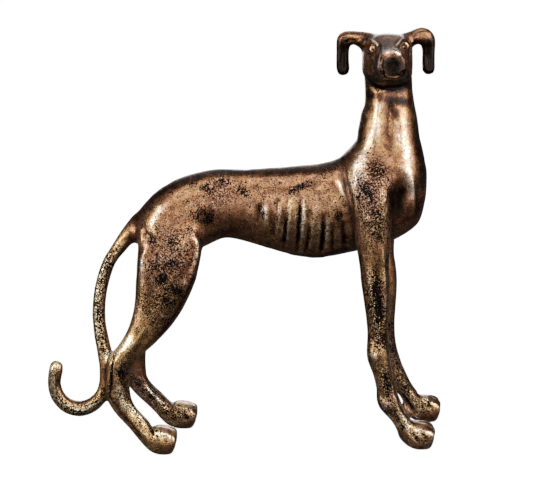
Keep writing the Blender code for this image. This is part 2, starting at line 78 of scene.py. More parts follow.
# Strokes of the modelling tool, each through points in the picture's pixels. reach is half its width, and
# height is how far the skin is raised, or sunk where it is negative, both in millimetres. both says whether
# the dog's left side, which the picture doesn't show, has it too, or with None that it runs down the dog's
# middle. fade is the share of it that is left at its ends.
Stroke = namedtuple("Stroke", "line reach height both fade", defaults=(True, 0.3))


def ring(middle, radius, start=0, end=12):
    """Pixels round a middle, for a radius in millimetres, between two hours of the clock."""
    x, y = middle
    reach = radius / 0.7
    return [(x + reach * math.sin(hour * math.pi / 6), y - reach * math.cos(hour * math.pi / 6))
            for hour in range(start, end + 1)]


def pupil(middle, radius):
    """The pixel of the pupil, which sits low in its eye."""
    return middle[0] + 0.2, middle[1] + radius * 0.5


# Where the outline of the neck, back, breast and belly swells or draws in
OUTLINE = [
    Stroke([(363.5, 105), (361.5, 116), (359, 128), (357, 140)], 18, 1.7, None, 0.0),
    Stroke([(412, 94), (414.5, 112), (418, 134), (421, 150)], 14, -0.75, None, 0.8),
    Stroke([(363.5, 107)], 7, 0.3, None),
    Stroke([(426, 175)], 12, 1.2, None),
    Stroke([(424, 204)], 16, -2.3, None),
    Stroke([(246, 169.5), (262, 168.8), (280, 167)], 12, 0.9, None),
    Stroke([(148, 200), (158, 191.5), (168, 184.5)], 12, 0.8, None),
    Stroke([(266, 247), (280, 250.5), (292, 253.5)], 12, -0.8, None),
    Stroke([(306, 257), (316, 257.5), (328, 256)], 12, 0.8, None),
]
RIBS = [
    Stroke([(264.5, 204), (266, 218), (267.5, 232)], 2.6, 0.35),
    Stroke([(271.5, 206), (271.5, 220), (271, 236)], 2.6, -0.4),
    Stroke([(280, 203), (278.5, 218), (276.5, 235)], 1.9, 0.4),
    Stroke([(283.5, 206), (281.5, 224), (277.5, 240)], 1.8, -0.4),
    Stroke([(291.5, 197), (289, 214), (287, 238)], 2.2, 0.45),
    Stroke([(287, 216), (285.5, 232), (283.5, 248)], 1.8, -0.8),
    Stroke([(300.5, 201), (299.3, 220), (298, 238), (297, 250)], 2.2, -1.1),
    Stroke([(303.5, 199), (304, 218), (302.5, 242)], 2.2, 0.5),
    Stroke([(309.5, 226), (308, 240), (305.5, 253)], 1.7, -0.7),
    Stroke([(313, 218), (312, 232), (310.5, 246)], 2.2, 0.35),
    Stroke([(324, 222), (322.8, 238), (321, 253)], 2.4, -1.1),
    Stroke([(329, 224), (328.5, 238), (327, 250)], 2.4, 0.3),
    Stroke([(333.5, 232), (333, 250)], 1.7, -0.4),
]
# Where one form runs into the next: here height is how much the skin is rubbed down, from 0 to 1.
JOINS = [
    Stroke([(393.5, 182), (392.5, 196), (390, 215), (387.5, 240)], 9, 1.0),
    Stroke([(380, 178), (388, 178), (398, 180)], 7, 1.0),
    Stroke([(374, 97), (384, 98.5), (396, 97)], 4, 1.0, False),
    Stroke([(370, 56.3), (370.2, 56.5)], 2.5, 1.0, False),
    Stroke([(359.5, 213.5), (359.6, 214)], 3.0, 1.0),
    Stroke([(344, 172), (350, 205), (354, 228)], 3.5, 0.7),
    Stroke([(426, 172), (426.5, 186), (425, 197)], 13, 1.0, None, 1.0),
    Stroke([(154, 425.5), (163, 426.5), (171, 430)], 4, 0.9),
    Stroke([(408, 423.5), (418, 425), (428, 429)], 4, 0.9),
    Stroke([(182, 402), (189, 404), (194, 409)], 4, 0.9, False),
    Stroke([(416, 393.5), (426, 396), (434, 400)], 4, 0.9, False),
]
TRUNK = [
    Stroke([(336.5, 177), (339, 185), (342, 194)], 2.6, 0.45),
    Stroke([(342.5, 172), (345, 184), (346, 196), (350, 211), (353, 227)], 1.7, -0.45),
    Stroke([(348, 168), (349.5, 180), (352, 192)], 2.4, 0.35),
    Stroke([(350.8, 228), (352.2, 240)], 1.8, 0.5),
    Stroke([(344.5, 232), (346, 241)], 3.4, -0.8),
    Stroke([(345.5, 244.5), (351.5, 246)], 1.5, 0.4),
    Stroke([(381, 186), (384.5, 190), (385.5, 199), (381.5, 206), (379, 199), (380.5, 191)],
           1.0, 0.2, False),
    Stroke([(386, 187), (386.5, 196), (385, 206)], 0.9, 0.2, False),
    Stroke([(391.5, 188), (391.5, 198), (391, 208)], 5.0, -0.4),
    Stroke([(400, 186), (400.5, 200), (401, 216)], 6.5, -0.7),
    Stroke([(411, 176), (413, 196), (412.5, 216)], 4.5, 0.6),
    Stroke([(155.5, 253), (157, 258), (156.5, 263.5)], 1.8, -1.0),
    Stroke([(146, 236), (152, 240), (158, 243)], 4.6, -0.7),
    Stroke([(192, 236), (196.5, 239), (198, 248), (197, 261)], 3.4, 0.2),
    Stroke([(190, 242), (193.5, 250), (193, 262)], 3.0, -0.25),
    Stroke([(141, 270), (142, 258), (146, 250)], 3.0, 0.5),
    Stroke([(152, 208), (158, 205), (163, 207)], 4.0, 0.4),
    Stroke([(262, 202), (259, 210), (260, 219)], 2.2, -0.4),
    Stroke([(277, 187), (276.4, 197)], 0.9, 0.3, False),
]
LIMBS = [
    Stroke([(362.6, 252), (366.5, 268), (369, 284), (372, 301), (374.2, 318), (375, 333)], 2.2, 0.45),
    Stroke([(372, 262), (375.5, 276), (377, 294), (379.5, 310), (381, 322)], 2.6, -0.5),
    Stroke([(381.5, 246), (383.5, 259), (385, 276), (386, 292)], 2.2, 0.4),
    Stroke([(387.5, 300), (387, 320), (387, 340), (389, 356)], 1.8, -0.5),
    Stroke([(369.5, 350), (374, 356), (378, 361)], 3.0, 0.7),
    Stroke([(377, 366), (383, 368)], 2.4, -0.6),
    Stroke([(379.5, 390), (380.5, 397), (382, 404)], 1.3, 0.4),
    Stroke([(384.5, 401), (386.3, 404), (386, 408.5), (383.5, 409)], 1.5, 0.5),
    Stroke([(394, 396), (396.5, 401), (398, 406)], 1.6, 0.5),
    Stroke([(398.6, 411.5), (402, 418), (407, 426)], 1.3, 0.4),
    Stroke([(398.5, 400), (403, 408.5), (408.5, 417)], 3.2, -1.5, False, 0.6),
    Stroke([(403.5, 396), (408.5, 404.5), (414, 413)], 3.8, -2.1, False, 0.6),
    Stroke([(389, 412), (394, 418), (399, 424)], 2.6, -0.5),
    Stroke([(118.5, 346), (114, 357), (112, 368), (111.5, 384), (110.5, 400)], 1.1, -0.7, False),
    Stroke([(108.5, 350), (109, 360), (112, 368)], 1.8, 0.4, False),
    Stroke([(118, 384), (119.5, 397), (123, 410)], 1.8, 0.5),
    Stroke([(124, 372), (126, 386), (131, 398)], 2.4, -0.5),
    Stroke([(131, 405), (138, 413), (146, 423)], 1.8, 0.55),
    Stroke([(146, 386), (154, 395), (163, 404)], 1.8, 0.45, False),
    Stroke([(140, 430), (147, 437)], 2.2, 0.4),
]
PAWS = [
    Stroke([(419, 397.5), (425, 398), (430, 400)], 6, 1.8, False),
    Stroke([(152, 428.5), (160, 428), (170, 431)], 6, 1.0, False),
    Stroke([(172, 404.5), (180, 404), (188, 407)], 6, 0.9, False),
    Stroke([(150.5, 429.5), (153, 432), (154, 436)], 1.2, -0.8),
    Stroke([(163.5, 431), (166, 436), (166.5, 443)], 1.0, -0.6),
    Stroke([(170.5, 432), (172.5, 437), (172, 444)], 1.0, -0.6),
    Stroke([(186, 409), (190, 414), (191, 420)], 1.0, -0.5, False),
    Stroke([(178, 408), (183, 413), (184, 421)], 1.0, -0.5, False),
    Stroke([(405.8, 427), (407.5, 426.6), (408.6, 428.4), (407.4, 430), (405.8, 429.4)], 0.7, 0.35),
    Stroke([(407, 428.3), (407.2, 428.4)], 0.7, -0.6),
    Stroke([(420.5, 430), (424, 434), (425.5, 438), (425, 443)], 1.2, -0.8),
    Stroke([(411, 433.5), (415.5, 437), (418, 440), (418.5, 444.5)], 1.4, -0.7),
    Stroke([(414.5, 424), (421, 424.6)], 1.2, -0.3),
    Stroke([(416, 404.5), (422, 401.6), (430, 404.6)], 1.2, 0.5, False),
    Stroke([(417, 409), (422, 405.5), (428, 408)], 1.8, -0.4, False),
    Stroke([(428, 402.5), (431.5, 407), (432, 413)], 1.0, -0.6, False),
]
HEAD = [
    Stroke([(392.5, 62), (393, 69)], 6.6, -0.8, False, 0.8),
    Stroke([(401, 51), (405.5, 56)], 4.0, -1.2, False, 0.7),
    Stroke([(407, 57), (407.5, 66), (407.5, 72)], 2.6, -0.8, False, 0.7),
    Stroke([(384.5, 53.6), (388, 51.8), (393, 51.3), (398.5, 52.8), (402, 57)], 1.5, 0.5, False),
    Stroke([(381, 56), (380.2, 64), (381.4, 72.5)], 1.4, 0.3, False),
    Stroke([(402.5, 58), (404, 65), (404.5, 71)], 1.5, 0.3, False),
    Stroke([(385, 74.5), (388, 76.6), (394, 77.4), (402, 76.6)], 1.6, 0.65, False),
    Stroke([(404.6, 73.6), (405.4, 73.7)], 1.9, 0.7, False),
    Stroke([(404.6, 73.6), (405, 73.7)], 0.8, -0.5, False),
    Stroke([(382.8, 74.8), (383, 75)], 1.3, -1.3, False),
    Stroke([(385, 79.8), (393, 81), (402, 80)], 2.2, -0.7, False),
    Stroke([(370, 39.8), (373, 41), (377.6, 44.8)], 1.5, 0.8, False, 0.8),
    Stroke([(396.2, 46.4), (398.6, 43.6), (401.6, 40.2)], 1.25, 0.9, False),
    Stroke([(394.6, 44), (397, 41.4), (400, 38.4)], 1.2, -0.5, False),
    Stroke([(392, 49.5), (395.5, 49.6), (398.5, 51.5)], 1.5, -0.5, False),
    Stroke([(378.5, 42), (379.8, 47), (379.4, 52), (378, 60)], 1.8, -0.5, False),
    Stroke([(374, 52.5), (374.2, 56), (372.5, 60)], 2.0, 0.6, False),
    Stroke([(368.5, 53), (368.8, 60), (369.8, 68)], 1.8, -0.3, False),
    Stroke([(410.5, 50), (409.5, 55), (409, 63)], 3.6, -1.1, False, 0.6),
    Stroke([(410.5, 71), (410, 76)], 4.0, 1.0, False, 0.8),
    Stroke([(366.8, 80), (371, 83.4), (376.5, 88.4), (381, 91.2), (387.5, 90.6)], 1.4, 0.5, False),
    Stroke([(387.5, 90.6), (394, 91.5), (400.5, 90.4)], 1.2, 0.3, False),
    Stroke([(413, 78.8), (409, 81.4)], 1.1, 0.45, False),
    Stroke([(410, 83), (408.2, 86)], 1.0, 0.4, False),
    Stroke([(368, 78.5), (374, 82.5), (380, 86.5), (388, 87.5), (399, 87), (408, 81.5)], 1.7, -0.8, False),
    Stroke([(343.2, 46), (342.2, 56), (342.2, 66), (342.8, 71)], 2.9, -0.8, False),
    Stroke([(428.5, 48), (428.8, 58), (429.6, 68), (430, 71)], 2.9, -0.8, False),
    Stroke([(425.6, 43), (425.3, 54)], 0.9, 0.35, False),
    Stroke([(341, 37.5), (347, 35.8), (354, 35.6)], 1.6, 0.4, False),
    Stroke([(344, 42.5), (350, 40), (356, 40.5)], 1.8, -0.4, False),
    Stroke([(359.5, 37.5), (358.2, 41)], 1.2, -0.5, False),
    Stroke([(409.5, 36.5), (411, 41)], 1.2, -0.5, False),
    Stroke([(415, 33.5), (420, 31), (425, 30.5)], 1.6, -0.35, False),
    Stroke([(375, 38.5), (379, 39.2)], 1.2, -0.3, False),
    Stroke([(386, 38.8), (390, 40.2)], 1.2, -0.3, False),
    Stroke([(392, 41), (395, 42.4)], 1.0, -0.35, False),
]
# Eyes: middle in pixels; the lid's radius in millimetres, and the hours of the clock between which it runs
EYES = [((372.4, 48.9), 1.6, 4, 14), ((404.5, 46.6), 2.7, 4, 16)]

# Where the finish changes, and where shade and highlights are painted into the colour, as strokes of a brush:
# height is how strongly it is laid on.
BLACK = [
    Stroke([(167, 193.5), (173, 192)], 3.6, 0.8),
    Stroke([(190.5, 184.5)], 3.0, 0.8),
    Stroke([(200, 185), (204, 188), (207.5, 186)], 4.0, 0.9),
    Stroke([(213, 184), (221, 181), (229, 181), (233, 188)], 4.0, 0.55),
    Stroke([(231, 175), (236, 174)], 2.6, 0.7),
    Stroke([(240, 185), (243.5, 191), (246, 198.5)], 4.6, 0.9),
    Stroke([(187, 199), (189.5, 203)], 3.2, 0.9),
    Stroke([(190, 208), (204, 216), (210, 222), (214.5, 227.5)], 9.0, 0.8),
    Stroke([(187, 226), (192, 231)], 4.6, 0.65),
    Stroke([(168, 239), (175, 242)], 5.0, 0.65),
    Stroke([(149, 237), (156, 243)], 5.0, 0.65),
    Stroke([(150, 262), (160, 268), (176, 263), (182, 267)], 4.0, 0.45),
    Stroke([(157.5, 280.5), (163, 278), (168, 281)], 4.6, 0.85),
    Stroke([(172, 288), (178, 292), (181.5, 297)], 5.4, 0.55),
    Stroke([(160, 296), (166, 302), (176, 308)], 5.0, 0.4),
    Stroke([(150, 318), (160, 322), (170, 326)], 6.0, 0.4),
    Stroke([(128, 325), (136, 330)], 4.0, 0.55),
    Stroke([(264, 201.5), (260.5, 209), (262.5, 216), (258.5, 219)], 3.4, 0.85),
    Stroke([(278.8, 210), (277, 224), (275.2, 237)], 2.0, 0.8),
    Stroke([(287.3, 215), (285.5, 232), (283.3, 249)], 2.8, 1.3),
    Stroke([(300.6, 201), (299.7, 218), (298.5, 236), (296.8, 250)], 2.8, 1.4),
    Stroke([(309.4, 228), (307.5, 241), (305.4, 254)], 2.6, 1.2),
    Stroke([(324, 223), (322.6, 238), (320.7, 254)], 3.2, 1.4),
    Stroke([(333.4, 233), (333, 250)], 2.0, 0.6),
    Stroke([(291.5, 191.5), (298, 188.5), (305, 185), (311.5, 182.5)], 4.4, 1.0, True, 0.8),
    Stroke([(316, 180), (326, 173), (338, 163.5), (345, 158)], 8.0, 0.6),
    Stroke([(335.5, 221.5), (339, 217), (344, 213)], 4.6, 0.9),
    Stroke([(343, 196), (344.8, 207)], 3.0, 0.8),
    Stroke([(344, 231), (345.4, 241)], 5.0, 0.75),
    Stroke([(370, 160), (379, 169), (384, 178)], 9.0, 0.75),
    Stroke([(361, 183), (367, 190), (371, 197)], 5.4, 0.35),
    Stroke([(390, 178), (392, 190), (393, 202), (391, 214)], 6.5, 0.75),
    Stroke([(372, 232), (380, 238), (384, 243)], 6.0, 0.45),
    Stroke([(139, 213), (142, 220), (141, 230)], 4.0, 0.6),
    Stroke([(375.5, 272), (377, 294), (379.5, 312), (381, 326)], 4.4, 0.75),
    Stroke([(384, 330), (386, 350)], 4.0, 0.6),
    Stroke([(382, 364), (386, 378), (390, 392)], 5.0, 0.65),
    Stroke([(118.5, 346), (113, 362), (111, 384), (110, 402)], 2.6, 1.0, False),
    Stroke([(127, 356), (130, 372), (136, 386)], 3.6, 0.55),
    Stroke([(152, 430), (153.5, 434)], 2.0, 0.9),
    Stroke([(164, 434), (166, 443)], 1.8, 0.8),
    Stroke([(421, 431), (425, 437), (425, 443)], 2.0, 0.7),
    Stroke([(412, 435), (418, 440)], 2.4, 0.6),
    Stroke([(428, 402), (431, 408)], 1.8, 0.8, False),
    Stroke([(130, 371), (139, 383)], 3.0, 0.7, False),
    Stroke([(149, 394), (156, 400)], 2.4, 0.6, False),
    Stroke([(184, 413), (188, 419)], 2.4, 0.7, False),
    Stroke([(122, 362), (120, 374), (123, 384)], 3.4, 0.65),
    Stroke([(398, 300), (400, 330), (404, 355)], 3.0, 0.6, False),
    # Painted shade: the next two strokes blacken the underside of the jaw and a stripe down the muzzle's left
    # side.
    Stroke([(370, 82), (376, 86), (388, 88), (400, 87.5), (409, 82.5)], 4.0, 0.9, False, 0.8),
    Stroke([(377.6, 58), (377, 64), (377.4, 70)], 1.8, 0.75, False, 0.8),
    Stroke([(392.5, 64), (393.5, 70)], 5.0, 0.55, False, 0.8),
    *[Stroke([pupil(middle, radius)], radius * 0.5, 1.6, False) for middle, radius, *_ in EYES],
]
PITTED = [
    Stroke([(170, 215), (172, 260), (160, 300), (142, 335)], 34, 0.82),
    Stroke([(200, 195), (235, 192)], 22, 0.7),
    Stroke([(240, 200), (300, 190)], 26, 0.35),
    Stroke([(362, 165), (368, 190), (374, 215), (374, 250)], 24, 1.0),
    Stroke([(372, 260), (375, 320), (380, 360)], 18, 1.0),
    Stroke([(385, 380), (392, 402), (402, 425)], 12, 0.9, True, 0.8),
    Stroke([(410, 432), (424, 438)], 10, 0.45, True, 0.8),
    Stroke([(130, 362), (122, 375), (118, 392), (135, 412), (155, 432)], 13, 0.85, True, 0.8),
    Stroke([(388, 262), (392, 330), (400, 375), (412, 398), (424, 406)], 12, 0.9, False, 0.9),
    Stroke([(128, 358), (140, 385), (165, 408), (185, 415)], 12, 0.9, False, 0.8),
    Stroke([(112, 250), (98, 300), (104, 350)], 12, 1.1, False, 0.8),
    Stroke([(108, 395), (80, 412), (60, 405), (50, 370)], 14, 0.9, False, 0.8),
    Stroke([(290, 205), (320, 215), (340, 230)], 26, 0.35),
]
GOLDEN = [
    Stroke([(118, 240), (100, 280), (95, 320), (104, 350)], 14, 1.0, False, 1.0),
    Stroke([(108, 395), (80, 412), (60, 405), (50, 370)], 14, 1.0, False, 1.0),
    Stroke([(165, 300), (145, 335), (118, 390), (135, 412), (160, 435)], 28, 1.0, True, 0.8),
    Stroke([(372, 262), (377, 330), (385, 380), (405, 430)], 20, 0.7, True, 0.8),
    Stroke([(376, 205), (374, 245)], 18, 0.7),
    Stroke([(265, 212), (300, 225), (338, 236)], 22, 0.6),
    Stroke([(160, 400), (188, 412)], 16, 0.7, False, 0.8),
    Stroke([(402, 375), (412, 396), (426, 405)], 14, 0.8, False, 0.9),
]
# Painted shade, in part dark patina: these strokes darken the colour of the head, the ear and muzzle hollows,
# under the jaw and chin, the breast, the belly and the edges of the legs, tail and back, where shade falls.
PAINTED_SHADE_AND_PATINA = [
    Stroke([(360, 258), (362.4, 280), (364.9, 300), (368.2, 325), (369.2, 345), (369.8, 362)],
           1.8, 1.1, True, 1.0),
    Stroke([(140, 250), (138.4, 270), (137, 290), (134.4, 305), (131, 320), (127.4, 332)],
           1.8, 1.0, True, 1.0),
    Stroke([(198.6, 264), (191.6, 282), (182.6, 301), (171.6, 320), (160, 335)], 2.0, 1.0, True, 1.0),
    Stroke([(112, 399), (121, 412), (132, 424), (140, 435)], 1.8, 1.0, True, 1.0),
    Stroke([(372.5, 372), (375.5, 385), (377.4, 397), (382, 408), (390, 419), (397, 432)],
           1.8, 1.0, True, 1.0),
    Stroke([(368, 44), (376, 60), (392, 60), (410, 60)], 34, 0.2, False, 1.0),
    Stroke([(222, 238), (240, 240), (262, 246), (290, 254), (315, 257), (345, 250)], 5, 0.9, True, 0.8),
    Stroke([(366, 36), (378, 35), (392, 35), (406, 34.5), (412, 35)], 5.0, 0.5, False, 1.0),
    Stroke([(372, 40), (384, 41), (394, 42), (402, 40)], 6.0, 0.2, False, 1.0),
    Stroke([(386, 44), (390, 50)], 7.0, 0.3, False, 1.0),
    Stroke([(377.5, 57), (377.5, 74)], 2.6, 1.4, False, 1.0),
    Stroke([(401.5, 57), (404.5, 66), (404, 74), (394, 77.5), (385, 75.5), (382, 70), (382, 59)],
           3.2, 1.3, False, 1.0),
    Stroke([(370, 80), (376, 85), (388, 86.5), (400, 86), (410, 81)], 7.5, 1.5, False, 1.0),
    Stroke([(376, 80), (388, 81), (402, 81)], 5.0, 1.3, False, 1.0),
    Stroke([(392.5, 65), (393.5, 71)], 9.0, 2.2, False, 1.0),
    Stroke([(343.5, 46), (343, 72)], 8.5, 1.6, False, 1.0),
    Stroke([(429, 46), (430, 71)], 8.5, 1.6, False, 1.0),
    Stroke([(379.5, 42), (380, 55)], 3.5, 0.9, False),
    Stroke([(110, 263), (104.5, 285), (102, 310), (104, 335)], 2.2, 0.4, False, 1.0),
    Stroke([(62, 370), (61, 385), (68, 398), (80, 402), (94, 398)], 3.4, 0.65, False, 1.0),
    Stroke([(362.5, 38), (366, 40)], 3.5, 1.2, False),
    Stroke([(413, 41), (417, 42)], 3.5, 1.2, False),
    Stroke([(407, 62), (410, 74)], 5.5, 0.7, False),
    Stroke([(416, 205), (413, 232), (404, 244)], 15, 0.9),
    Stroke([(394, 183), (393, 198), (392, 214)], 6, 0.9),
    Stroke([(400, 184), (400.5, 200), (401, 218)], 7, 0.9),
    Stroke([(387, 99), (398, 101), (409, 103)], 5.5, 1.2, False, 0.8),
    Stroke([(367, 94), (374, 96), (384, 98)], 4.5, 0.9, False, 0.8),
    Stroke([(393, 108), (397, 117)], 4.5, 1.2, False, 0.8),
    Stroke([(363, 112), (359, 134), (346, 152)], 8, 0.9),
    Stroke([(416, 118), (421, 155), (425, 190)], 9, 1.0),
    Stroke([(136, 219), (150, 203), (160, 192.5), (175, 184.5), (190, 178), (206, 172.5), (240, 170.5),
            (280, 170.5), (320, 167.5), (340, 161), (354, 148)], 8, 1.1, False, 0.6),
]
# Metal rubbed bright on the ridges, and painted highlights: these strokes lighten the colour where the lamps
# catch the neck, the hip, the hock, the eye rings, the brows and the muzzle's rim.
WORN_AND_PAINTED_HIGHLIGHT = [
    Stroke([(152, 228), (156, 214), (164, 205)], 6.0, 1.0),
    Stroke([(141, 272), (143, 258)], 3.5, 1.0),
    Stroke([(379, 96), (378, 120), (368, 143), (358, 165), (357, 192)], 9.0, 1.0),
    Stroke([(403, 112), (404, 135), (408, 160), (407, 180), (411, 203)], 9.0, 1.05),
    Stroke([(338, 180), (342, 193)], 2.4, 0.5),
    Stroke([(411, 178), (413, 196), (412.5, 214)], 4, 1.0),
    Stroke([(303.8, 201), (304, 210), (303.4, 220)], 2.2, 0.5),
    Stroke([(291, 197), (289.6, 210)], 1.8, 0.4),
    Stroke([(265.5, 203), (267, 228)], 2.2, 0.7),
    Stroke([(194, 236), (197, 241), (197, 256)], 3.0, 0.15),
    Stroke([(108, 356), (116, 347), (128, 340)], 6.5, 2.4, True, 0.8),
    Stroke([(117, 386), (121, 398), (131, 409), (146, 425)], 4.5, 0.9),
    Stroke([(144, 384), (154, 395), (164, 405)], 4.0, 0.9, False),
    Stroke([(106, 260), (99, 283), (96.5, 310), (99, 335)], 2.6, 0.8, False, 0.8),
    Stroke([(52, 365), (52, 385), (60, 402), (80, 411), (100, 400)], 2.8, 0.75, False, 0.8),
    Stroke([(285, 205), (310, 225), (336, 238)], 22, 0.3),
    Stroke([(368, 350), (377, 358)], 4.5, 0.7),
    Stroke([(404, 417), (410, 430), (424, 428)], 5.0, 0.8),
    Stroke([(150, 433), (160, 436), (168, 434)], 5.0, 0.8),
    Stroke([(415, 404), (422, 401)], 3.0, 0.4, False),
    Stroke([(384, 53.6), (388.6, 52.6)], 2.6, 1.8, False, 0.8),
    Stroke([(389, 51.8), (397, 52)], 1.8, 0.9, False, 0.8),
    Stroke([(397.4, 52.4), (399.8, 54)], 2.0, 1.8, False, 0.8),
    Stroke([(372.4, 40.6), (377, 44.4)], 1.8, 1.8, False, 1.0),
    Stroke([(386, 56.5), (391, 57)], 3.0, 0.8, False),
    Stroke([(382.5, 57), (380.6, 64), (382, 71), (387, 76.4), (394, 77.6), (401, 76.4), (404, 70),
            (403.6, 62), (401, 56)], 0.9, 0.8, False, 1.0),
    Stroke([(397, 45.6), (401, 40.8)], 1.3, 1.6, False),
    Stroke([(359.4, 37.5), (358.4, 41)], 1.4, 1.2, False),
    Stroke([(410, 36.5), (411.2, 41)], 1.6, 1.2, False),
    Stroke([(376.5, 88.4), (381, 91.2), (387.5, 90.6)], 1.5, 1.1, False),
    Stroke([(413, 78.8), (409, 81.4)], 1.2, 1.0, False),
    Stroke([(373.5, 57), (373, 61)], 2.2, 0.9, False),
    *[Stroke(ring(middle, radius, start, end), radius * 0.4, 1.0, False, 0.6)
      for middle, radius, start, end in EYES],
]
FINISH_AND_PAINTED_LIGHT = {"black": BLACK, "pitted": PITTED, "golden": GOLDEN, "painted_shade_and_patina": PAINTED_SHADE_AND_PATINA, "worn_and_painted_highlight": WORN_AND_PAINTED_HIGHLIGHT}


def outwards(azimuth, elevation):
    """The unit vector away from the figure. Azimuth 0 is on the dog's right side and 90 in front of it."""
    around, above = math.radians(azimuth), math.radians(elevation)
    level = math.cos(above)
    return Vector((math.sin(around) * level, -math.cos(around) * level, math.sin(above)))


def towards_camera():
    """Unit vectors from the figure to the camera, to the picture's right and up."""
    around = math.radians(AZIMUTH)
    back = outwards(AZIMUTH, ELEVATION)
    right = Vector((math.cos(around), math.sin(around), 0))
    return back, right, back.cross(right)


def set_camera():
    back, _, _ = towards_camera()
    camera = bpy.data.objects.new("camera", bpy.data.cameras.new("camera"))
    bpy.context.scene.collection.objects.link(camera)
    camera.data.lens, camera.data.sensor_width = LENS, SENSOR
    camera.data.clip_start = 0.01
    camera.location = AIM + back * DISTANCE
    camera.rotation_mode = "QUATERNION"
    camera.rotation_quaternion = (-back).to_track_quat("-Z", "Y")
    bpy.context.scene.camera = camera


def through_modifier(mesh, kind, **settings):
    """What a modifier makes of a mesh."""
    holder = bpy.data.objects.new("holder", mesh)
    bpy.context.scene.collection.objects.link(holder)
    modifier = holder.modifiers.new(kind.lower(), kind)
    for name, value in settings.items():
        setattr(modifier, name, value)
    graph = bpy.context.evaluated_depsgraph_get()
    made = bpy.data.meshes.new_from_object(holder.evaluated_get(graph))
    bpy.data.objects.remove(holder)
    return made


def rounded_solid():
    """A copy of the casting's solid with its facets rounded over."""
    form = bmesh.new()
    form.from_mesh(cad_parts["greyhound"].data)
    bmesh.ops.remove_doubles(form, verts=form.verts, dist=1e-6)
    bmesh.ops.dissolve_degenerate(form, dist=SLIVER, edges=form.edges)
    bmesh.ops.triangulate(form, faces=form.faces)
    form.normal_update()
    bmesh.ops.subdivide_edges(form, edges=form.edges, cuts=3, use_grid_fill=True,
                              smooth=1.0, smooth_falloff="LINEAR")
    mesh = bpy.data.meshes.new("rounded solid")
    form.to_mesh(mesh)
    form.free()
    return mesh


